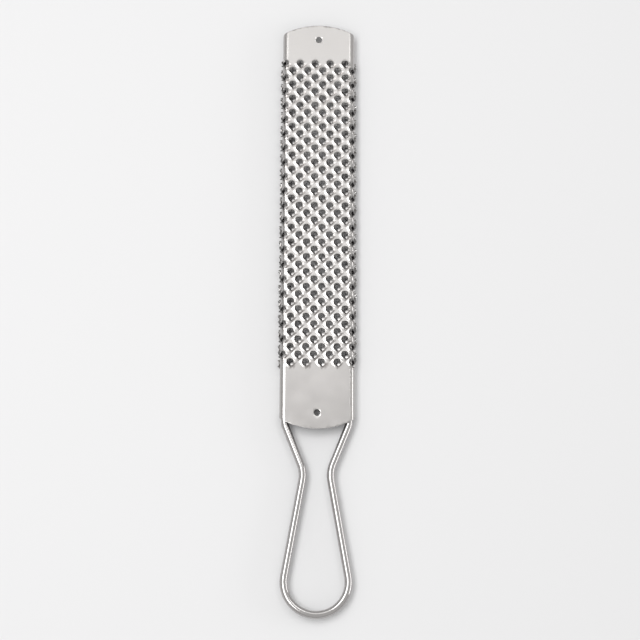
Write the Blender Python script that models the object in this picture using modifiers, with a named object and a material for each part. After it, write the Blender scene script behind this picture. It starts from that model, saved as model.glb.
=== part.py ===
"""Wood rasp: a punched and folded stainless sheet carried on one bent wire.

The sheet is punched from below with rows of ragged four-petalled teeth, and its long edges are
folded down. The wire's two legs lie inside the folds, and its loop is the handle.

Frame: metres, +Z up, +Y towards the rasp's tip, +X to the right when the teeth look up.
The origin is the centre of the bounding box's floor, where the folded edges rest.
"""

import math

import bmesh
import bpy
from mathutils import Matrix, Vector

MM = 0.001

# Overall
TIP_Y = 157.7 * MM              # crown of the sheet's rounded tip
HEEL_Y = -62.9 * MM             # crown of the sheet's rounded handle end
END_RADIUS = 38.0 * MM          # of both rounded ends, struck on the sheet before it is folded
END_CHORDS = 14
WIDTH = 38.2 * MM               # over the folded edges, without their teeth
DEPTH = 7.0 * MM                # from the flat top down to the edges that it rests on
SHEET_THICKNESS = 0.5 * MM

# Folded edges; radii are to the middle of the sheet's thickness
FOLD_RADIUS = 2.5 * MM
FOLD_FACETS = 4
FOLD_X = WIDTH / 2 - SHEET_THICKNESS / 2 - FOLD_RADIUS
FOLD_Z = DEPTH - SHEET_THICKNESS / 2 - FOLD_RADIUS
FOLD_LENGTH = FOLD_RADIUS * math.pi / 2
SHEET_HALF_WIDTH = FOLD_X + FOLD_LENGTH + FOLD_Z
EDGE_TOLERANCE = 0.001 * MM

# Teeth: rows a pitch apart, each tooth two pitches from the next in its row and set off by one
PITCH = 4.0 * MM
TOOTH_ROWS = 42
TEETH_IN_ROW = 6                # the outermost on one side stands on the folded edge
FIELD_CENTRE_Y = 53.5 * MM
FIELD_HALF_LENGTH = PITCH * TOOTH_ROWS / 2
FIELD_HALF_WIDTH = PITCH * TEETH_IN_ROW
OPENING_REACH = 1.8 * MM        # centre of a tooth to a corner of its diamond opening
PETAL_HEIGHT = 1.4 * MM
SLIT_HEIGHT = 0.35 * MM         # of the rim at the corners, where the metal split

# Plain round holes, one near each end
SCREW_HOLE_DIAMETER = 3.5 * MM
SCREW_HOLE_FROM_END = 8.2 * MM
SCREW_HOLE_SIDES = 20

# Wire, as its centre line
WIRE_DIAMETER = 4.0 * MM
WIRE_Z = FOLD_Z - 0.1 * MM
LEG_X = FOLD_X - 0.1 * MM
LEG_END_Y = 150.0 * MM
LEG_FOOT_Y = -60.5 * MM         # where the legs turn in towards the waist
LEG_BEND_RADIUS = 8.0 * MM
WAIST_X = 6.5 * MM              # where the two straight stretches would meet
WAIST_Y = -84.7 * MM
WAIST_BEND_RADIUS = 16.0 * MM
LOOP_RADIUS = 16.1 * MM
LOOP_Y = -139.6 * MM
BEND_STEP = math.radians(5)
LOOP_STEP = math.radians(8)


def clear_scene():
    for thing in list(bpy.data.objects):
        bpy.data.objects.remove(thing)


def make_collection(name):
    collection = bpy.data.collections.new(name)
    bpy.context.scene.collection.children.link(collection)
    return collection


def make_metal(name, colour, roughness):
    material = bpy.data.materials.new(name)
    material.use_nodes = True
    shader = material.node_tree.nodes["Principled BSDF"]
    shader.inputs["Base Color"].default_value = (*colour, 1.0)
    shader.inputs["Roughness"].default_value = roughness
    shader.inputs["Metallic"].default_value = 1.0
    material.diffuse_color = (*colour, 1.0)
    return material


# ---------------------------------------------------------------- the sheet, laid out flat

def whole_mesh(bm):
    return bm.verts[:] + bm.edges[:] + bm.faces[:]


def lay_out_cells(bm):
    """A sheet of square cells that stand on their corners, one round each tooth."""
    cell_side = PITCH * math.sqrt(2)
    reach = SHEET_HALF_WIDTH + max(TIP_Y - FIELD_CENTRE_Y, FIELD_CENTRE_Y - HEEL_Y) + 2 * PITCH
    cells = 2 * math.ceil(reach / (2 * PITCH))
    bmesh.ops.create_grid(bm, x_segments=cells, y_segments=cells, size=cells * cell_side / 2)
    bmesh.ops.rotate(bm, verts=bm.verts, cent=(0, 0, 0), matrix=Matrix.Rotation(math.pi / 4, 3, "Z"))
    shift = Vector((PITCH / 2, FIELD_CENTRE_Y + PITCH / 2, 0))
    bmesh.ops.translate(bm, verts=bm.verts, vec=shift)


def is_tooth_cell(face):
    centre = face.calc_center_median()
    in_length = abs(centre.y - FIELD_CENTRE_Y) < FIELD_HALF_LENGTH
    return in_length and abs(centre.x) < FIELD_HALF_WIDTH


def punch_teeth(bm):
    """Open a diamond in each tooth's cell and lift its rim: high mid-side, low at the corners."""
    cells = [face for face in bm.faces if is_tooth_cell(face)]
    border = (PITCH - OPENING_REACH) / math.sqrt(2)
    bmesh.ops.inset_individual(bm, faces=cells, thickness=border, use_even_offset=True)
    for vert in {vert for cell in cells for vert in cell.verts}:
        vert.co.z = SLIT_HEIGHT
    sides = list({edge for cell in cells for edge in cell.edges})
    split = bmesh.ops.subdivide_edges(bm, edges=sides, cuts=1)["geom_inner"]
    for vert in split:
        if isinstance(vert, bmesh.types.BMVert):
            vert.co.z = PETAL_HEIGHT
    holes = [face for face in bm.faces if all(vert.co.z > 0 for vert in face.verts)]
    bmesh.ops.delete(bm, geom=holes, context="FACES")


def divide_fold_sides(bm):
    """Add a point half-way along each cell side that the fold crosses, so that it turns clear of the wire."""
    sides = []
    for edge in bm.edges:
        middle = (edge.verts[0].co + edge.verts[1].co) / 2
        in_length = abs(middle.y - FIELD_CENTRE_Y) < FIELD_HALF_LENGTH
        on_fold = abs(abs(middle.x) - 4.5 * PITCH) < PITCH
        on_border = max(vert.co.z for vert in edge.verts) < SLIT_HEIGHT / 2
        if in_length and on_fold and on_border:
            sides.append(edge)
    bmesh.ops.bisect_edges(bm, edges=sides, cuts=1)


def trim(bm, point, outward):
    bmesh.ops.bisect_plane(bm, geom=whole_mesh(bm), plane_co=point, plane_no=outward, clear_outer=True)


def trim_sides(bm):
    for side in (-1, 1):
        trim(bm, (side * SHEET_HALF_WIDTH, 0, 0), (side, 0, 0))


def trim_end(bm, crown_y, direction):
    """Round one end with short straight cuts along its arc."""
    half_angle = math.asin(SHEET_HALF_WIDTH / END_RADIUS) * 1.05
    centre = Vector((0, crown_y - direction * END_RADIUS, 0))
    step = 2 * half_angle / END_CHORDS
    for i in range(END_CHORDS):
        angle = -half_angle + (i + 0.5) * step
        outward = Vector((math.sin(angle), direction * math.cos(angle), 0))
        trim(bm, centre + outward * END_RADIUS * math.cos(step / 2), outward)


def smooth_plain_end(bm, direction):
    """Join one end's plain cells to a single face, then divide it where the fold will turn."""
    field_end = FIELD_CENTRE_Y + direction * FIELD_HALF_LENGTH
    plain = []
    for face in bm.faces:
        past_teeth = direction * (face.calc_center_median().y - field_end)
        if past_teeth > -PITCH / 4 and all(abs(vert.co.z) < 1e-7 for vert in face.verts):
            plain.append(face)
    bmesh.ops.dissolve_faces(bm, faces=plain, use_verts=True)
    for side in (-1, 1):
        for facet in range(FOLD_FACETS + 1):
            faces = [f for f in bm.faces if direction * (f.calc_center_bounds().y - field_end) > 0]
            edges = {edge for face in faces for edge in face.edges}
            verts = {vert for face in faces for vert in face.verts}
            geometry = list(verts) + list(edges) + faces
            point = (side * (FOLD_X + FOLD_LENGTH * facet / FOLD_FACETS), 0, 0)
            bmesh.ops.bisect_plane(bm, geom=geometry, plane_co=point, plane_no=(side, 0, 0))


def fold_point(flat):
    """Where a point of the flat sheet goes: along the top, round the fold, then down the edge."""
    side = math.copysign(1, flat.x)
    past_flat = abs(flat.x) - FOLD_X
    turn = min(max(past_flat, 0) / FOLD_RADIUS, math.pi / 2)
    down = max(past_flat - FOLD_LENGTH, 0)
    reach = FOLD_RADIUS + flat.z
    across = FOLD_X + min(past_flat, 0) + reach * math.sin(turn)
    return Vector((side * across, flat.y, FOLD_Z + reach * math.cos(turn) - down))


def add_cutter(name, mesh, location, collection):
    cutter = bpy.data.objects.new(name, mesh)
    cutter.location = location
    cutter.hide_render = True
    cutter.display_type = "WIRE"
    collection.objects.link(cutter)
    return cutter


def make_hole_cutter(name, y, collection):
    mesh = bpy.data.meshes.new(name)
    bm = bmesh.new()
    bmesh.ops.create_cone(
        bm, cap_ends=True, segments=SCREW_HOLE_SIDES, depth=DEPTH,
        radius1=SCREW_HOLE_DIAMETER / 2, radius2=SCREW_HOLE_DIAMETER / 2,
    )
    bm.to_mesh(mesh)
    bm.free()
    return add_cutter(name, mesh, (0, y, DEPTH), collection)


def dress_long_edges(blade):
    """Square off the thickness of the two long edges, on which the rasp rests, at one flat level."""
    depsgraph = bpy.context.evaluated_depsgraph_get()
    mesh = bpy.data.meshes.new_from_object(blade.evaluated_get(depsgraph))
    blade.modifiers.clear()
    blade.data = mesh
    count = len(mesh.vertices) // 2         # the outer skin's points come first, then the inner skin's
    for outer, inner in zip(mesh.vertices[:count], mesh.vertices[count:]):
        middle = (outer.co + inner.co) / 2
        if middle.z < EDGE_TOLERANCE:
            half_thickness = math.copysign(SHEET_THICKNESS / 2, middle.x)
            outer.co = (middle.x + half_thickness, middle.y, 0)
            inner.co = (middle.x - half_thickness, middle.y, 0)


def make_blade(collection, cutters):
    bm = bmesh.new()
    lay_out_cells(bm)
    punch_teeth(bm)
    divide_fold_sides(bm)
    trim_sides(bm)
    trim_end(bm, TIP_Y, 1)
    trim_end(bm, HEEL_Y, -1)
    smooth_plain_end(bm, 1)
    smooth_plain_end(bm, -1)
    walls = [face for face in bm.faces if any(vert.co.z > 0 for vert in face.verts)]
    bmesh.ops.triangulate(bm, faces=walls, ngon_method="BEAUTY")
    for vert in bm.verts:
        vert.co = fold_point(vert.co)
    mesh = bpy.data.meshes.new("rasp_blade")
    bm.to_mesh(mesh)
    bm.free()

    blade = bpy.data.objects.new("rasp_blade", mesh)
    collection.objects.link(blade)
    blade.data.materials.append(make_metal("satin_stainless_sheet", (0.60, 0.58, 0.56), 0.38))
    wall = blade.modifiers.new("sheet_thickness", "SOLIDIFY")
    wall.thickness = SHEET_THICKNESS
    wall.offset = 0
    dress_long_edges(blade)
    tools = [
        make_hole_cutter("tip_hole_cutter", TIP_Y - SCREW_HOLE_FROM_END, cutters),
        make_hole_cutter("heel_hole_cutter", HEEL_Y + SCREW_HOLE_FROM_END, cutters),
    ]
    for tool in tools:
        cut = blade.modifiers.new(tool.name, "BOOLEAN")
        cut.operation = "DIFFERENCE"
        cut.solver = "EXACT"
        cut.object = tool
    return blade


# ---------------------------------------------------------------- the wire

def rounded_corner(before, corner, after, radius):
    """Points of the arc that rounds the corner between two straight stretches."""
    into = (corner - before).normalized()
    out = (after - corner).normalized()
    turn = into.angle_signed(out)
    setback = radius * math.tan(abs(turn) / 2)
    start = corner - into * setback
    sideways = Vector((into.y, -into.x)) * math.copysign(1, turn)
    centre = start + sideways * radius
    steps = max(2, round(abs(turn) / BEND_STEP))
    points = []
    for i in range(steps + 1):
        spoke = start - centre
        spoke.rotate(Matrix.Rotation(-turn * i / steps, 2))
        points.append(centre + spoke)
    return points


def wire_route():
    """The wire's centre line seen from above, from the right leg's end round to the left's."""
    leg_end = Vector((LEG_X, LEG_END_Y))
    leg_foot = Vector((LEG_X, LEG_FOOT_Y))
    waist = Vector((WAIST_X, WAIST_Y))
    loop_centre = Vector((0, LOOP_Y))
    to_centre = loop_centre - waist
    lean = math.asin(LOOP_RADIUS / to_centre.length) - math.atan2(WAIST_X, WAIST_Y - LOOP_Y)
    tangent = loop_centre + LOOP_RADIUS * Vector((math.cos(lean), math.sin(lean)))

    right = [leg_end]
    right += rounded_corner(leg_end, leg_foot, waist, LEG_BEND_RADIUS)
    right += rounded_corner(leg_foot, waist, tangent, WAIST_BEND_RADIUS)
    arc = math.pi / 2 + lean
    steps = round(arc / LOOP_STEP)
    for i in range(steps):
        angle = lean - arc * i / steps
        right.append(loop_centre + LOOP_RADIUS * Vector((math.cos(angle), math.sin(angle))))
    bottom = loop_centre - Vector((0, LOOP_RADIUS))
    left = [Vector((-point.x, point.y)) for point in reversed(right)]
    return right + [bottom] + left


def make_handle(collection):
    curve = bpy.data.curves.new("wire_handle", "CURVE")
    curve.dimensions = "3D"
    curve.bevel_depth = WIRE_DIAMETER / 2
    curve.bevel_resolution = 4
    curve.use_fill_caps = True
    points = wire_route()
    spline = curve.splines.new("POLY")
    spline.points.add(len(points) - 1)
    for spot, point in zip(spline.points, points):
        spot.co = (point.x, point.y, WIRE_Z, 1)
    handle = bpy.data.objects.new("wire_handle", curve)
    collection.objects.link(handle)
    curve.materials.append(make_metal("polished_stainless_wire", (0.66, 0.65, 0.64), 0.2))
    return handle


def main():
    clear_scene()
    parts = make_collection("wood_rasp")
    cutters = make_collection("cutters")
    make_blade(parts, cutters)
    make_handle(parts)


main()
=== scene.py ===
"""Wood rasp: a punched and folded stainless sheet held on one bent wire.

The frame gives two plain solids. Each is replaced by a finished piece of the same size: the sheet
with its torn teeth, folds and eased edges, and the polished wire.
"""

import math
import random

import bpy
from mathutils import Euler, Matrix, Vector


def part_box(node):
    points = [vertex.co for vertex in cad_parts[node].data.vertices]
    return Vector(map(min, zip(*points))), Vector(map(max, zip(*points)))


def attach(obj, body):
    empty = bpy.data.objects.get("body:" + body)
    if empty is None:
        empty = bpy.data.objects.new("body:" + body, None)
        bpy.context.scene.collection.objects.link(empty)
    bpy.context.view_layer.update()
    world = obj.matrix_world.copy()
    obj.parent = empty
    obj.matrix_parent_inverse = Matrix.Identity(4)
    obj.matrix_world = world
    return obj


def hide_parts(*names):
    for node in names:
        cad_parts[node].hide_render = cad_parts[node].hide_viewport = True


MM = 0.001

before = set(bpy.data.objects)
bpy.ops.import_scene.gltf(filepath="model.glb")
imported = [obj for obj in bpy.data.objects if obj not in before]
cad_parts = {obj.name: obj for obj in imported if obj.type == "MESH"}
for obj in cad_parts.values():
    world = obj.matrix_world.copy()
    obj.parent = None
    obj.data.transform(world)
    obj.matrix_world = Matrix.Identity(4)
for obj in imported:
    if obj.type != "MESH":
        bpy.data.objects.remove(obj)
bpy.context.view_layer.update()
blade_low, blade_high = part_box("rasp_blade")
wire_low, wire_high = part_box("wire_handle")

# Sheet
THICKNESS = 0.5 * MM
WIDTH = 38.2 * MM                   # over the folds, without the side teeth
DEPTH = 7.0 * MM
END_RADIUS = 38.0 * MM
END_CUTS = 40                       # straight cuts that round each end
TIP_Y = blade_high.y
HEEL_Y = blade_low.y
FOLD_RADIUS = 2.5 * MM              # to the middle of the thickness
FOLD_X = WIDTH / 2 - THICKNESS / 2 - FOLD_RADIUS
FOLD_Z = DEPTH - THICKNESS / 2 - FOLD_RADIUS
FOLD_LENGTH = FOLD_RADIUS * math.pi / 2
FOLD_STEPS = 6
FOLD_LEAD_IN = -0.4                 # in steps of the fold: one more edge just before it
HALF_SHEET = FOLD_X + FOLD_LENGTH + FOLD_Z      # middle to edge, before folding
SHEET_SMOOTH_BELOW = math.radians(42)

# Screw holes and sheared edges
HOLE_RADIUS = 1.75 * MM
HOLE_SIDES = 48
HOLE_FROM_END = 8.2 * MM
HOLE_TURN = math.radians(2.3)       # keeps the cutter's corners off the sheet's own edges
EASE = 0.12 * MM                    # most that a sheared edge is rounded
EASE_STEPS = 2
SHARP_ABOVE = math.radians(60)
SLIVER = 0.002 * MM                 # points closer than this are merged after the cuts
SLIVER_ON_END = 0.1 * MM            # the same on the plain ends

# Teeth
PITCH = 4.0 * MM                    # row to row, and half the way between teeth in a row
ROWS = 42
TEETH_IN_ROW = 6
FIELD_CENTRE_Y = 53.5 * MM
STEPS_ON_SIDE = 4                   # of the cell round each tooth
CELL_SEAM = 0.02 * MM               # points of neighbouring cells closer than this are merged

# Rings of a tooth from its foot to its torn rim: how far out and how high each is, in mm, at the
# middle of a petal, at a corner of the punch where the metal split, and at the long split
# towards the handle
TOOTH_RINGS = (
    ((2.50, 0.03), (2.74, 0.02), (3.04, 0.01)),
    ((1.76, 0.30), (2.36, 0.12), (2.86, 0.04)),
    ((0.98, 0.68), (1.88, 0.24), (2.72, 0.08)),
    ((1.94, 1.50), (1.86, 0.38), (2.62, 0.12)),
)
PETAL_TAPER = 1.2                   # above 1, a petal narrows more as it rises
LONG_SPLIT = -math.pi / 2
LONG_SPLIT_TURN = math.radians(9)
SAME_DIRECTION = 0.1                # in radians

# One petal of each tooth lies over, with a painted highlight on its inner face and painted shade
# on the upper face round it, while the others stand
LAID_PETAL = -math.pi / 4
LAID_HALF_WIDTH = math.pi / 5
LAID_RIM = (2.20, 0.86)             # how far out and how high its rim is, in mm
LAID_FROM = 1.9 * MM                # how far out its painted highlight and shade begin

# How torn and how thin the metal is, by height; the torn share also sets painted shade on the
# inner faces of the teeth
TORN_AND_SHADED_FROM = 0.3 * MM
TORN_AND_SHADED_SPAN = 0.5 * MM
PAINTED_HIGHLIGHT_AND_SHADE = -1.2                       # in place of a torn share, at any height: painted highlight on the laid petal's inner face, painted shade on the upper face
THIN_FROM = 0.15 * MM
THIN_SPAN = 1.1 * MM
THINNING = 0.75

# How much the teeth differ
RIM_FROM = 0.5 * MM
RIM_SPAN = 0.9 * MM
PETAL_HEIGHTS = (0.82, 1.08)        # as shares of the pattern's height
PETAL_LEANS = (-0.12 * MM, 0.16 * MM)
RAGGED_FROM = 0.75 * MM
RAGGED_HEIGHTS = (-0.30 * MM, 0.16 * MM)
RAGGED_LEANS = (-0.05 * MM, 0.05 * MM)

# Wire
WIRE_RADIUS = (wire_high.z - wire_low.z) / 2
WIRE_Z = (wire_high.z + wire_low.z) / 2
WIRE_ROUNDNESS = 10
WIRE_SMOOTH_BELOW = math.radians(50)
WIRE_END_EASE = 0.4 * MM
WIRE_END_STEPS = 3
CAP_SEAM = 0.001 * MM               # merges the end caps with the side
LEG_X = FOLD_X - 0.1 * MM           # the legs lie inside the folds
LEG_FOOT_Y = -60.5 * MM
LEG_BEND_RADIUS = 8.0 * MM
LEG_BEND_STEPS = 12
WAIST = Vector((6.5 * MM, -84.7 * MM))      # corner of the route, before it is rounded
WAIST_BEND_RADIUS = 16.0 * MM
WAIST_BEND_STEPS = 20
LOOP_RADIUS = 16.1 * MM
LOOP_Y = wire_low.y + WIRE_RADIUS + LOOP_RADIUS
LOOP_STEPS = 40                     # on half of the loop

# Metals
SHEET_COLOUR = (0.50, 0.485, 0.475)
TORN_COLOUR = (0.66, 0.65, 0.64)
# The underside's colour is darkened as painted shade
UNDERSIDE_PAINTED_SHADE_COLOUR = (0.40, 0.39, 0.385)
# The inner faces of the teeth darken towards their rims as painted shade
TEETH_INSIDE_PAINTED_SHADE_COLOUR = (0.15, 0.147, 0.145)
WIRE_COLOUR = (0.47, 0.455, 0.45)
NOISE_RANGE = (0.3, 0.7)            # which the noise seldom leaves
EVEN = (1, 1, 1)
ALONG_SHEET = (1, 0.04, 1)          # a small scale draws the noise out along that axis
GRAIN_STRENGTH = 0.08
GRAIN_DEPTH = 0.02 * MM

# The set
FLOOR_SIZE = 6
FLOOR_GAP = 0.05 * MM
FLOOR_COLOUR = (0.68, 0.68, 0.686)
FLOOR_ROUGHNESS = 0.8
# How bright the sky is by height, from the horizon at 0 to overhead at 1
SKY_STOPS = ((0.0, 0.45), (0.30, 0.62), (0.62, 0.71), (0.86, 0.72), (1.0, 0.70))
SKY_TINT = (1, 0.995, 0.985)
# Name, place, aim, width and height of the panel, and power in watts
LIGHTS = (
    ("window", (-0.50, 0.02, 1.15), (0, 0, 0), (1.14, 0.5), 8.8),
    ("low_fill", (1.2, 0.0, 0.32), (0, 0, 0), (0.9, 0.3), 3.0),
    ("strip", (0.42, 0.50, 1.2), (0, 0.15, 0), (0.4, 0.14), 0.8),
    ("overhead", (0.0, 0.66, 1.25), (0, 0.2, 0), (1.0, 0.8), 1.65),
)
CAMERA_PLACE = Vector((-0.01285, -0.22601, 0.83550))
CAMERA_TURN = Euler((math.radians(14.8496), math.radians(-1.0491), math.radians(0.2728)))
CAMERA_LENS = 93.9                  # in mm, as the sensor's width is
CAMERA_SENSOR = 36

rng = random.Random(7)


# ---------------------------------------------------------------- helpers

def deselect_all():
    if bpy.context.object and bpy.context.object.mode != "OBJECT":
        bpy.ops.object.mode_set(mode="OBJECT")
    bpy.ops.object.select_all(action="DESELECT")


def make_active(piece):
    deselect_all()
    piece.select_set(True)
    bpy.context.view_layer.objects.active = piece


def settle(piece):
    """Put a piece's place into its mesh, so that its object sits at the origin."""
    make_active(piece)
    bpy.ops.object.transform_apply(location=True, rotation=True, scale=True)


def join(pieces, name):
    deselect_all()
    for piece in pieces:
        piece.select_set(True)
    bpy.context.view_layer.objects.active = pieces[0]
    bpy.ops.object.join()
    pieces[0].name = name
    pieces[0].data.name = name
    return pieces[0]


def apply_modifier(piece, modifier):
    make_active(piece)
    bpy.ops.object.modifier_apply(modifier=modifier.name)


def share_above(height, start, span):
    """0 up to the start, then rising to 1 over the span."""
    return min(max((height - start) / span, 0), 1)


# ---------------------------------------------------------------- one tooth, one plain cell

def on_laid_petal(angle):
    return abs(angle - LAID_PETAL) < LAID_HALF_WIDTH


def ring_place(ring, angle):
    """Place on a ring in this direction; the punch's corners lie along the axes."""
    petal, slit, long_slit = TOOTH_RINGS[ring]
    if abs(angle - LONG_SPLIT) < SAME_DIRECTION:
        slit = long_slit
        angle += LONG_SPLIT_TURN
    elif ring == len(TOOTH_RINGS) - 1 and on_laid_petal(angle):
        petal = LAID_RIM
    share = abs(math.sin(2 * angle)) if slit is not long_slit else 0
    radius = (slit[0] + (petal[0] - slit[0]) * share) * MM
    height = (slit[1] + (petal[1] - slit[1]) * share ** PETAL_TAPER) * MM
    return Vector((radius * math.cos(angle), radius * math.sin(angle), height))


def torn_and_painted_light_share(place):
    """How torn the metal is here, from 0 to 1, which also sets painted shade inside the teeth, or
    the laid petal's value for painted highlight and shade.
    """
    if place.xy.length > LAID_FROM and on_laid_petal(math.atan2(place.y, place.x)):
        return PAINTED_HIGHLIGHT_AND_SHADE
    return share_above(place.z, TORN_AND_SHADED_FROM, TORN_AND_SHADED_SPAN)


def model_tooth():
    """A cell's border drawn in by rings to the torn rim of its tooth."""
    bpy.ops.mesh.primitive_circle_add(vertices=4, radius=PITCH, fill_type="NOTHING")
    tooth = bpy.context.object
    bpy.ops.object.mode_set(mode="EDIT")
    bpy.ops.mesh.select_all(action="SELECT")
    bpy.ops.mesh.subdivide(number_cuts=STEPS_ON_SIDE - 1)
    around = 4 * STEPS_ON_SIDE
    directions = {}
    for ring in range(len(TOOTH_RINGS)):
        bpy.ops.mesh.extrude_region_move()
        bpy.ops.object.mode_set(mode="OBJECT")
        for vert in tooth.data.vertices:
            if vert.select:
                if ring == 0:
                    directions[vert.index % around] = math.atan2(vert.co.y, vert.co.x)
                vert.co = ring_place(ring, directions[vert.index % around])
        bpy.ops.object.mode_set(mode="EDIT")
    bpy.ops.object.mode_set(mode="OBJECT")
    # The torn share: torn colour on the upper face, painted shade on the inner faces of the teeth
    torn_and_painted_light = tooth.data.attributes.new("torn_and_painted_light", "FLOAT", "POINT")
    torn_and_painted_light.data.foreach_set("value", [torn_and_painted_light_share(vert.co) for vert in tooth.data.vertices])
    return tooth


def model_plain_cell():
    """A flat square on its corner, cut as finely along its sides as a tooth's cell."""
    side = PITCH * math.sqrt(2)
    steps = STEPS_ON_SIDE
    bpy.ops.mesh.primitive_grid_add(x_subdivisions=steps, y_subdivisions=steps, size=side)
    cell = bpy.context.object
    cell.data.transform(Matrix.Rotation(math.pi / 4, 4, "Z"))
    return cell


def tear_rim(tooth):
    """Make this tooth unlike the others: petals of unequal height with ragged edges."""
    heights = [rng.uniform(*PETAL_HEIGHTS) for _ in range(4)]
    leans = [rng.uniform(*PETAL_LEANS) for _ in range(4)]
    for vert in tooth.data.vertices:
        if vert.co.z < RIM_FROM:
            continue
        angle = math.atan2(vert.co.y, vert.co.x)
        petal = int((angle % (2 * math.pi)) / (math.pi / 2)) % 4
        share = (vert.co.z - RIM_FROM) / RIM_SPAN
        outward = Vector((math.cos(angle), math.sin(angle), 0))
        vert.co += outward * leans[petal] * share
        vert.co.z *= heights[petal]
        if vert.co.z > RAGGED_FROM:
            vert.co.z += rng.uniform(*RAGGED_HEIGHTS) * share
            vert.co += outward * rng.uniform(*RAGGED_LEANS)


# ---------------------------------------------------------------- the sheet

def cell_places():
    """The centre of every cell of the flat sheet, and whether a tooth stands in it."""
    across = math.ceil(HALF_SHEET / PITCH)
    along = math.ceil(max(TIP_Y - FIELD_CENTRE_Y, FIELD_CENTRE_Y - HEEL_Y) / PITCH) + 1
    for row in range(-along, along):
        y = FIELD_CENTRE_Y + (row + 0.5) * PITCH
        if not HEEL_Y - PITCH < y < TIP_Y + PITCH:
            continue
        for column in range(-across - 1, across + 1):
            if (row + column) % 2 == 1:
                x = (column + 0.5) * PITCH
                in_field = abs(y - FIELD_CENTRE_Y) < ROWS / 2 * PITCH
                yield x, y, in_field and abs(x) < TEETH_IN_ROW * PITCH


def lay_cells():
    """Fill the flat sheet with cells, toothed in the field and plain round it."""
    tooth = model_tooth()
    plain = model_plain_cell()
    copies = []
    for x, y, toothed in cell_places():
        pattern = tooth if toothed else plain
        copy = bpy.data.objects.new("cell", pattern.data.copy())
        bpy.context.scene.collection.objects.link(copy)
        if toothed:
            tear_rim(copy)
        copy.data.transform(Matrix.Translation((x, y, 0)))
        copies.append(copy)
    bpy.data.objects.remove(tooth)
    bpy.data.objects.remove(plain)
    sheet = join(copies, "toothed_sheet")
    make_active(sheet)
    bpy.ops.object.mode_set(mode="EDIT")
    bpy.ops.mesh.select_all(action="SELECT")
    bpy.ops.mesh.remove_doubles(threshold=CELL_SEAM)
    bpy.ops.mesh.normals_make_consistent(inside=False)
    bpy.ops.object.mode_set(mode="OBJECT")
    return sheet


def shear_outline(sheet):
    """Cut the flat sheet to its straight sides and rounded ends."""
    make_active(sheet)
    bpy.ops.object.mode_set(mode="EDIT")
    cuts = [((side * HALF_SHEET, 0, 0), (side, 0, 0)) for side in (-1, 1)]
    half_angle = math.asin(HALF_SHEET / END_RADIUS)
    for direction, crown in ((1, TIP_Y), (-1, HEEL_Y)):
        for i in range(END_CUTS):
            angle = half_angle * (2 * (i + 0.5) / END_CUTS - 1)
            outward = Vector((math.sin(angle), direction * math.cos(angle), 0))
            centre = Vector((0, crown - direction * END_RADIUS, 0))
            cuts.append((centre + outward * END_RADIUS, outward))
    for point, outward in cuts:
        bpy.ops.mesh.select_all(action="SELECT")
        bpy.ops.mesh.bisect(plane_co=point, plane_no=outward, clear_outer=True)
    bpy.ops.object.mode_set(mode="OBJECT")


def crease_folds(sheet):
    """Give the flat sheet an edge at each step of its two folds."""
    make_active(sheet)
    bpy.ops.object.mode_set(mode="EDIT")
    for side in (-1, 1):
        for step in (FOLD_LEAD_IN, *range(FOLD_STEPS + 1)):
            x = side * (FOLD_X + FOLD_LENGTH * step / FOLD_STEPS)
            bpy.ops.mesh.select_all(action="SELECT")
            bpy.ops.mesh.bisect(plane_co=(x, 0, 0), plane_no=(1, 0, 0))
    bpy.ops.object.mode_set(mode="OBJECT")


def fold_point(flat):
    """Where a point of the flat sheet lies once the two long edges are folded down."""
    side = math.copysign(1, flat.x)
    past_flat = abs(flat.x) - FOLD_X
    turn = min(max(past_flat, 0) / FOLD_RADIUS, math.pi / 2)
    down = max(past_flat - FOLD_LENGTH, 0)
    reach = FOLD_RADIUS + flat.z
    across = FOLD_X + min(past_flat, 0) + reach * math.sin(turn)
    return Vector((side * across, flat.y, FOLD_Z + reach * math.cos(turn) - down))


def weigh_metal(sheet):
    """Say how much of the thickness is left: torn petals thin out towards their tips."""
    left = sheet.vertex_groups.new(name="metal_left")
    for vert in sheet.data.vertices:
        share = share_above(vert.co.z, THIN_FROM, THIN_SPAN)
        left.add([vert.index], 1 - THINNING * share, "REPLACE")


def thicken(sheet):
    """Give the sheet its thickness; the upper face and the rims take the second metal."""
    wall = sheet.modifiers.new("thickness", "SOLIDIFY")
    wall.thickness = THICKNESS
    wall.offset = 0
    wall.vertex_group = "metal_left"
    wall.thickness_vertex_group = 0.0
    wall.material_offset = 1
    wall.material_offset_rim = 1
    apply_modifier(sheet, wall)
    for vert in sheet.data.vertices:
        vert.co.z = max(vert.co.z, 0)


def drill_holes(sheet):
    """Cut a screw hole near each end."""
    for y in (TIP_Y - HOLE_FROM_END, HEEL_Y + HOLE_FROM_END):
        bpy.ops.mesh.primitive_cylinder_add(
            vertices=HOLE_SIDES, radius=HOLE_RADIUS, depth=DEPTH,
            location=(0, y, DEPTH), rotation=(0, 0, HOLE_TURN))
        cutter = bpy.context.object
        settle(cutter)
        cut = sheet.modifiers.new("hole", "BOOLEAN")
        cut.operation = "DIFFERENCE"
        cut.solver = "EXACT"
        cut.object = cutter
        apply_modifier(sheet, cut)
        bpy.data.objects.remove(cutter)


def on_plain_end(place):
    """Whether a place is beyond the rows of teeth by more than half a row."""
    return abs(place.y - FIELD_CENTRE_Y) > (ROWS / 2 + 0.5) * PITCH


def merge_slivers(sheet):
    """Merge points that the cuts left too close together, the more so on the plain ends."""
    make_active(sheet)
    bpy.ops.object.mode_set(mode="EDIT")
    bpy.ops.mesh.select_all(action="SELECT")
    bpy.ops.mesh.remove_doubles(threshold=SLIVER)
    bpy.ops.mesh.select_all(action="DESELECT")
    bpy.ops.object.mode_set(mode="OBJECT")
    for vert in sheet.data.vertices:
        vert.select = on_plain_end(vert.co)
    bpy.ops.object.mode_set(mode="EDIT")
    bpy.ops.mesh.remove_doubles(threshold=SLIVER_ON_END)
    bpy.ops.object.mode_set(mode="OBJECT")


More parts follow.
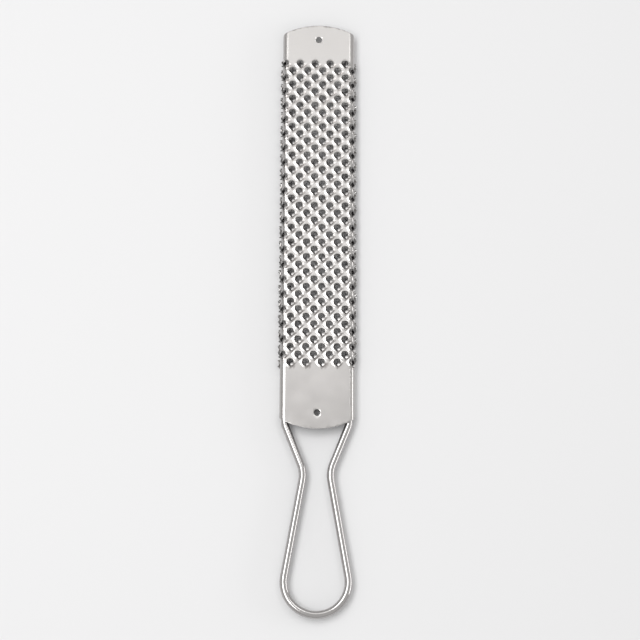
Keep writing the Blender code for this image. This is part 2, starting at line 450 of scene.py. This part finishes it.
def ease_cut_edges(sheet):
    """Round the sheared outline and the screw holes slightly, away from the torn teeth."""
    make_active(sheet)
    bpy.ops.object.mode_set(mode="EDIT")
    bpy.ops.mesh.select_mode(type="EDGE")
    bpy.ops.mesh.select_all(action="DESELECT")
    bpy.ops.mesh.edges_select_sharp(sharpness=SHARP_ABOVE)
    bpy.ops.object.mode_set(mode="OBJECT")
    mesh = sheet.data
    eased = [on_plain_end(vert.co) and vert.co.z > EASE for vert in mesh.vertices]
    chosen = [edge.select and all(eased[end] for end in edge.vertices) for edge in mesh.edges]
    for parts in (mesh.vertices, mesh.polygons):
        parts.foreach_set("select", [False] * len(parts))
    mesh.edges.foreach_set("select", chosen)
    bpy.ops.object.mode_set(mode="EDIT")
    bpy.ops.mesh.bevel(offset=EASE, segments=EASE_STEPS, affect="EDGES", clamp_overlap=True)
    bpy.ops.mesh.select_mode(type="VERT")
    bpy.ops.object.mode_set(mode="OBJECT")


def make_sheet():
    """Lay the sheet out flat, cut it, fold it, thicken it and finish its edges."""
    deselect_all()
    sheet = lay_cells()
    shear_outline(sheet)
    crease_folds(sheet)
    weigh_metal(sheet)
    for vert in sheet.data.vertices:
        vert.co = fold_point(vert.co)
    sheet.data.materials.append(underside_metal())
    sheet.data.materials.append(sheet_metal())
    thicken(sheet)
    drill_holes(sheet)
    merge_slivers(sheet)
    ease_cut_edges(sheet)
    make_active(sheet)
    bpy.ops.object.shade_smooth_by_angle(angle=SHEET_SMOOTH_BELOW)
    return sheet


# ---------------------------------------------------------------- the wire

def arc_between(before, corner, after, radius, steps):
    """Points along the bend that rounds this corner of the wire's route."""
    into = (corner - before).normalized()
    out = (after - corner).normalized()
    turn = into.angle_signed(out)
    setback = radius * math.tan(abs(turn) / 2)
    start = corner - into * setback
    sideways = Vector((into.y, -into.x)) * math.copysign(1, turn)
    centre = start + sideways * radius
    points = []
    for i in range(steps + 1):
        spoke = start - centre
        spoke.rotate(Matrix.Rotation(-turn * i / steps, 2))
        points.append(centre + spoke)
    return points


def wire_route():
    """The wire's middle line, from one leg's end round the loop to the other's."""
    leg_end = Vector((LEG_X, wire_high.y))
    leg_foot = Vector((LEG_X, LEG_FOOT_Y))
    centre = Vector((0, LOOP_Y))
    to_centre = centre - WAIST
    lean = math.asin(LOOP_RADIUS / to_centre.length) - math.atan2(WAIST.x, WAIST.y - LOOP_Y)
    touch = centre + LOOP_RADIUS * Vector((math.cos(lean), math.sin(lean)))
    right = [leg_end]
    right += arc_between(leg_end, leg_foot, WAIST, LEG_BEND_RADIUS, LEG_BEND_STEPS)
    right += arc_between(leg_foot, WAIST, touch, WAIST_BEND_RADIUS, WAIST_BEND_STEPS)
    arc = math.pi / 2 + lean
    for i in range(LOOP_STEPS):
        angle = lean - arc * i / LOOP_STEPS
        right.append(centre + LOOP_RADIUS * Vector((math.cos(angle), math.sin(angle))))
    left = [Vector((-point.x, point.y)) for point in reversed(right)]
    return right + [centre - Vector((0, LOOP_RADIUS))] + left


def make_wire():
    """Sweep the wire along its route and ease its two cut ends."""
    curve = bpy.data.curves.new("bent_wire", "CURVE")
    curve.dimensions = "3D"
    curve.bevel_depth = WIRE_RADIUS
    curve.bevel_resolution = WIRE_ROUNDNESS
    curve.use_fill_caps = True
    points = wire_route()
    spline = curve.splines.new("POLY")
    spline.points.add(len(points) - 1)
    for spot, point in zip(spline.points, points):
        spot.co = (point.x, point.y, WIRE_Z, 1)
    wire = bpy.data.objects.new("bent_wire", curve)
    bpy.context.scene.collection.objects.link(wire)
    make_active(wire)
    bpy.ops.object.convert(target="MESH")
    wire = bpy.context.object
    bpy.ops.object.mode_set(mode="EDIT")
    bpy.ops.mesh.select_all(action="SELECT")
    bpy.ops.mesh.remove_doubles(threshold=CAP_SEAM)
    bpy.ops.object.mode_set(mode="OBJECT")
    ease = wire.modifiers.new("cut_ends", "BEVEL")
    ease.width = WIRE_END_EASE
    ease.segments = WIRE_END_STEPS
    ease.limit_method = "ANGLE"
    ease.angle_limit = SHARP_ABOVE
    apply_modifier(wire, ease)
    bpy.ops.object.shade_smooth_by_angle(angle=WIRE_SMOOTH_BELOW)
    return wire


# ---------------------------------------------------------------- metals

def new_metal(name):
    material = bpy.data.materials.new(name)
    material.use_nodes = True
    shader = material.node_tree.nodes["Principled BSDF"]
    shader.inputs["Metallic"].default_value = 1.0
    return material, material.node_tree, shader


def stretched_noise(tree, scale, stretch, detail):
    place = tree.nodes.new("ShaderNodeTexCoord")
    mapping = tree.nodes.new("ShaderNodeMapping")
    mapping.inputs["Scale"].default_value = stretch
    noise = tree.nodes.new("ShaderNodeTexNoise")
    noise.inputs["Scale"].default_value = scale
    noise.inputs["Detail"].default_value = detail
    tree.links.new(place.outputs["Object"], mapping.inputs["Vector"])
    tree.links.new(mapping.outputs["Vector"], noise.inputs["Vector"])
    return noise.outputs["Fac"]


def smudge(tree, shader, roughness, scale, detail):
    """Let the roughness wander between two values, as handled metal's does."""
    remap = tree.nodes.new("ShaderNodeMapRange")
    remap.inputs["From Min"].default_value, remap.inputs["From Max"].default_value = NOISE_RANGE
    remap.inputs["To Min"].default_value, remap.inputs["To Max"].default_value = roughness
    tree.links.new(stretched_noise(tree, scale, EVEN, detail), remap.inputs["Value"])
    tree.links.new(remap.outputs["Result"], shader.inputs["Roughness"])


def add_grain(tree, shader):
    """Fine rolling lines along the sheet."""
    grain = stretched_noise(tree, scale=1400, stretch=ALONG_SHEET, detail=3)
    bump = tree.nodes.new("ShaderNodeBump")
    bump.inputs["Strength"].default_value = GRAIN_STRENGTH
    bump.inputs["Distance"].default_value = GRAIN_DEPTH
    tree.links.new(grain, bump.inputs["Height"])
    tree.links.new(bump.outputs["Normal"], shader.inputs["Normal"])


def colour_teeth(tree, shader, plain, torn_and_painted_light):
    """Go from the flat metal's colour to the torn petals' (painted shade, on the underside), and
    past it the other way at the laid petal for its painted highlight and shade.
    """
    weight = tree.nodes.new("ShaderNodeAttribute")
    weight.attribute_name = "torn_and_painted_light"
    mix = tree.nodes.new("ShaderNodeMix")
    mix.data_type = "RGBA"
    mix.clamp_factor = False
    mix.inputs["A"].default_value = (*plain, 1)
    mix.inputs["B"].default_value = (*torn_and_painted_light, 1)
    tree.links.new(weight.outputs["Fac"], mix.inputs["Factor"])
    tree.links.new(mix.outputs["Result"], shader.inputs["Base Color"])


def sheet_metal():
    material, tree, shader = new_metal("satin_stainless_sheet")
    smudge(tree, shader, roughness=(0.21, 0.27), scale=90, detail=4)
    colour_teeth(tree, shader, SHEET_COLOUR, TORN_COLOUR)
    add_grain(tree, shader)
    return material


def underside_metal():
    """The underside is rougher, and its colour darkened as painted shade; the inner faces of the
    teeth are part of it.
    """
    material, tree, shader = new_metal("dull_sheet_underside_painted_shade")
    smudge(tree, shader, roughness=(0.34, 0.50), scale=220, detail=5)
    colour_teeth(tree, shader, UNDERSIDE_PAINTED_SHADE_COLOUR, TEETH_INSIDE_PAINTED_SHADE_COLOUR)
    add_grain(tree, shader)
    return material


def wire_metal():
    material, tree, shader = new_metal("polished_stainless_wire")
    shader.inputs["Base Color"].default_value = (*WIRE_COLOUR, 1)
    smudge(tree, shader, roughness=(0.12, 0.17), scale=160, detail=4)
    return material


# ---------------------------------------------------------------- the set

def floor_material():
    material = bpy.data.materials.new("pale_floor")
    material.use_nodes = True
    shader = material.node_tree.nodes["Principled BSDF"]
    shader.inputs["Base Color"].default_value = (*FLOOR_COLOUR, 1)
    shader.inputs["Roughness"].default_value = FLOOR_ROUGHNESS
    return material


def make_floor():
    bpy.ops.mesh.primitive_plane_add(size=FLOOR_SIZE, location=(0, 0, -FLOOR_GAP))
    floor = bpy.context.object
    floor.name = "floor"
    floor.data.materials.append(floor_material())


def make_sky():
    """Light from all round: dim at the horizon, and nearly even from half way up."""
    world = bpy.data.worlds.new("studio")
    world.use_nodes = True
    tree = world.node_tree
    place = tree.nodes.new("ShaderNodeTexCoord")
    parts = tree.nodes.new("ShaderNodeSeparateXYZ")
    ramp = tree.nodes.new("ShaderNodeValToRGB")
    stops = ramp.color_ramp.elements
    while len(stops) < len(SKY_STOPS):
        stops.new(0.5)
    for stop, (height, shade) in zip(stops, SKY_STOPS):
        stop.position = height
        stop.color = (*(shade * tint for tint in SKY_TINT), 1)
    tree.links.new(place.outputs["Generated"], parts.inputs["Vector"])
    tree.links.new(parts.outputs["Z"], ramp.inputs["Fac"])
    tree.links.new(ramp.outputs["Color"], tree.nodes["Background"].inputs["Color"])
    bpy.context.scene.world = world


def add_light(name, place, aim, size, power):
    light = bpy.data.lights.new(name, "AREA")
    light.shape = "RECTANGLE"
    light.size, light.size_y = size
    light.energy = power
    lamp = bpy.data.objects.new(name, light)
    lamp.location = place
    lamp.rotation_euler = (Vector(aim) - Vector(place)).to_track_quat("-Z", "Y").to_euler()
    bpy.context.scene.collection.objects.link(lamp)


def make_lights():
    make_sky()
    for light in LIGHTS:
        add_light(*light)
    bpy.context.scene.view_settings.view_transform = "Standard"


def make_camera():
    camera = bpy.data.cameras.new("camera")
    camera.sensor_width = CAMERA_SENSOR
    camera.lens = CAMERA_LENS
    camera.clip_start = 0.01
    seat = bpy.data.objects.new("camera", camera)
    seat.matrix_world = Matrix.LocRotScale(CAMERA_PLACE, CAMERA_TURN, None)
    bpy.context.scene.collection.objects.link(seat)
    bpy.context.scene.camera = seat


make_camera()
make_lights()
make_floor()

sheet = make_sheet()
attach(sheet, "root")
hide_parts("rasp_blade")

wire = make_wire()
wire.data.materials.append(wire_metal())
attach(wire, "root")
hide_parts("wire_handle")
